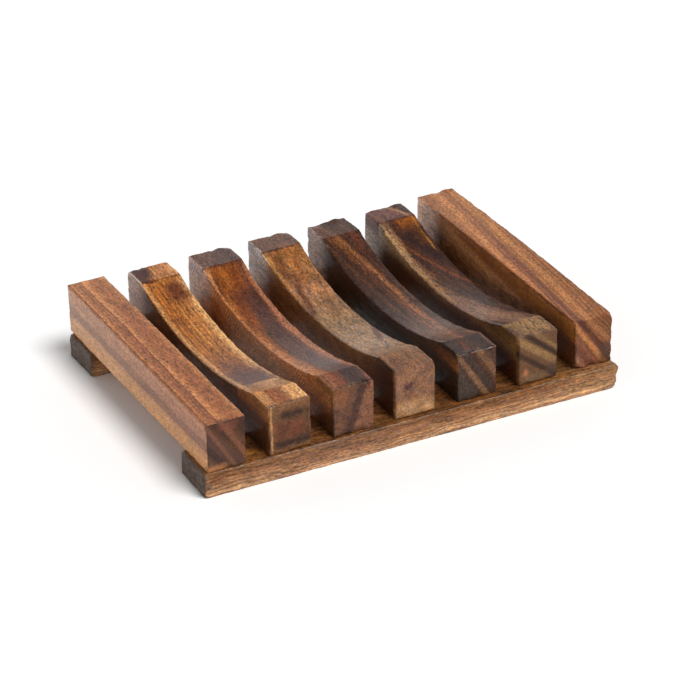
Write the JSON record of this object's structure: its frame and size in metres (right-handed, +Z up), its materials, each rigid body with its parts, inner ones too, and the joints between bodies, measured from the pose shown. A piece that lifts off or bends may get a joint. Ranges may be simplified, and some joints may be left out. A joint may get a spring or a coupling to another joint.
{
  "type": "soap dish",
  "caption": "Slatted wooden soap dish: square stained slats with a shared scoop lie across two flat rails and are nailed from below.",
  "frame": {"origin": "on the surface that the dish stands on, under the middle of its outline", "axes": "+X along the rails to the right, +Y from the front of the dish to its back, +Z up"},
  "size_m": [0.1202, 0.088, 0.021],
  "materials": {
    "reddish_slat_wood": "dark-stained hardwood under satin varnish, reddish brown with darker heart streaks",
    "honey_slat_wood": "stained hardwood under satin varnish, honey coloured with pale sapwood edges",
    "amber_slat_wood": "stained hardwood under satin varnish, amber brown with dark heart streaks",
    "dark_slat_wood": "dark heartwood under satin varnish, with tan streaks",
    "rail_wood": "coarse-grained stained hardwood under satin varnish, golden brown",
    "nail_steel": "bright drawn wire, slightly dulled"
  },
  "bodies": {
    "root": {"left_end_slat": "reddish_slat_wood", "scooped_slat_1": "honey_slat_wood", "scooped_slat_2": "amber_slat_wood", "scooped_slat_3": "amber_slat_wood", "scooped_slat_4": "dark_slat_wood", "scooped_slat_5": "dark_slat_wood", "right_end_slat": "reddish_slat_wood", "front_rail": "rail_wood", "back_rail": "rail_wood", "front_rail_nails": "nail_steel", "back_rail_nails": "nail_steel"}
  },
  "joints": []
}
